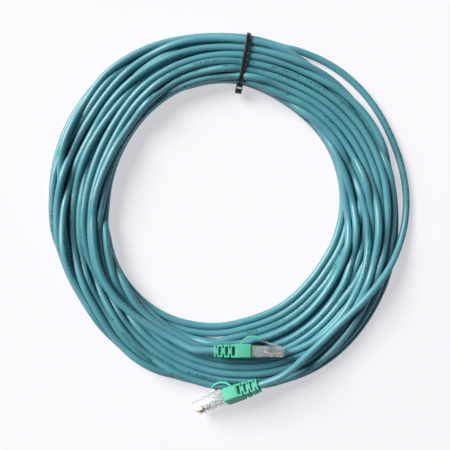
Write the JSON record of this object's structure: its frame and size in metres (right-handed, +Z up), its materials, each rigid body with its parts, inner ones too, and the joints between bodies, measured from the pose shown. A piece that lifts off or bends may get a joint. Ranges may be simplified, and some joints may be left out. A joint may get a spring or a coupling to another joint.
{
  "type": "ethernet patch cable",
  "caption": "Long round network patch cable wound flat in a ring and held by a cable tie, with a clear modular plug and a slip-on snagless boot at each end.",
  "frame": {"origin": "on the surface the coiled cable lies on, under the middle of its bounding box", "axes": "+Z up out of the ring, across its thickness; +X to the right and +Y away when plug a lies at the near edge with its nose pointing left; the tie is at the far (+Y) side"},
  "size_m": [0.2573, 0.2691, 0.0284],
  "materials": {
    "jacket": "semi-matt PVC jacket, grey teal",
    "tie_nylon": "semi-matt black-brown nylon",
    "clear_plastic": "clear polished polycarbonate",
    "gilt_contact": "gold-plated, bright",
    "boot_plastic": "soft moulded PVC, mint green",
    "wire_orange_white": "thin extruded insulation",
    "wire_orange": "thin extruded insulation",
    "wire_green_white": "thin extruded insulation",
    "wire_blue": "thin extruded insulation",
    "wire_blue_white": "thin extruded insulation",
    "wire_green": "thin extruded insulation",
    "wire_brown_white": "thin extruded insulation",
    "wire_brown": "thin extruded insulation"
  },
  "bodies": {
    "root": {"cable_coil": "jacket", "tail_a": "jacket", "tail_b": "jacket", "cable_tie": "tie_nylon", "plug_body_a": "clear_plastic", "contacts_a": "gilt_contact", "jacket_clamp_a": "clear_plastic", "wire_clamp_a": "clear_plastic", "jacket_end_a": "jacket", "plug_body_b": "clear_plastic", "contacts_b": "gilt_contact", "jacket_clamp_b": "clear_plastic", "wire_clamp_b": "clear_plastic", "jacket_end_b": "jacket", "wire_1_a": "wire_orange_white", "wire_2_a": "wire_orange", "wire_3_a": "wire_green_white", "wire_4_a": "wire_blue", "wire_5_a": "wire_blue_white", "wire_6_a": "wire_green", "wire_7_a": "wire_brown_white", "wire_8_a": "wire_brown", "wire_1_b": "wire_orange_white", "wire_2_b": "wire_orange", "wire_3_b": "wire_green_white", "wire_4_b": "wire_blue", "wire_5_b": "wire_blue_white", "wire_6_b": "wire_green", "wire_7_b": "wire_brown_white", "wire_8_b": "wire_brown"},
    "latch_a": {"latch_a": "clear_plastic"},
    "boot_a": {"boot_a": "boot_plastic"},
    "hood_a": {"boot_hood_a": "boot_plastic"},
    "latch_b": {"latch_b": "clear_plastic"},
    "boot_b": {"boot_b": "boot_plastic"},
    "hood_b": {"boot_hood_b": "boot_plastic"}
  },
  "joints": [
    {"name": "latch_press_a", "type": "hinge", "parent": "root", "child": "latch_a", "pos_m": [-0.02158, -0.12587, 0.00906], "axis": [-0.3218, 0.3778, 0.8682], "range_deg": [-10, 0], "stiffness_Nm_per_rad": 0.3},
    {"name": "boot_slide_a", "type": "slide", "parent": "root", "child": "boot_a", "axis": [0.9148, 0.3604, 0.1822], "range_m": [0, 0.008]},
    {"name": "hood_press_a", "type": "hinge", "parent": "boot_a", "child": "hood_a", "pos_m": [0.00312, -0.11433, 0.0132], "axis": [-0.3218, 0.3778, 0.8682], "range_deg": [0, 10]},
    {"name": "latch_press_b", "type": "hinge", "parent": "root", "child": "latch_b", "pos_m": [0.0364, -0.08462, 0.02103], "axis": [0, -0.1219, -0.9925], "range_deg": [-10, 0], "stiffness_Nm_per_rad": 0.3},
    {"name": "boot_slide_b", "type": "slide", "parent": "root", "child": "boot_b", "axis": [-1, 0, 0], "range_m": [0, 0.008]},
    {"name": "hood_press_b", "type": "hinge", "parent": "boot_b", "child": "hood_b", "pos_m": [0.0089, -0.08274, 0.0208], "axis": [0, -0.1219, -0.9925], "range_deg": [0, 10]}
  ],
  "couplings": [
    {"joint": "hood_press_a", "follows": "latch_press_a", "ratio": -1},
    {"joint": "hood_press_b", "follows": "latch_press_b", "ratio": -1}
  ]
}
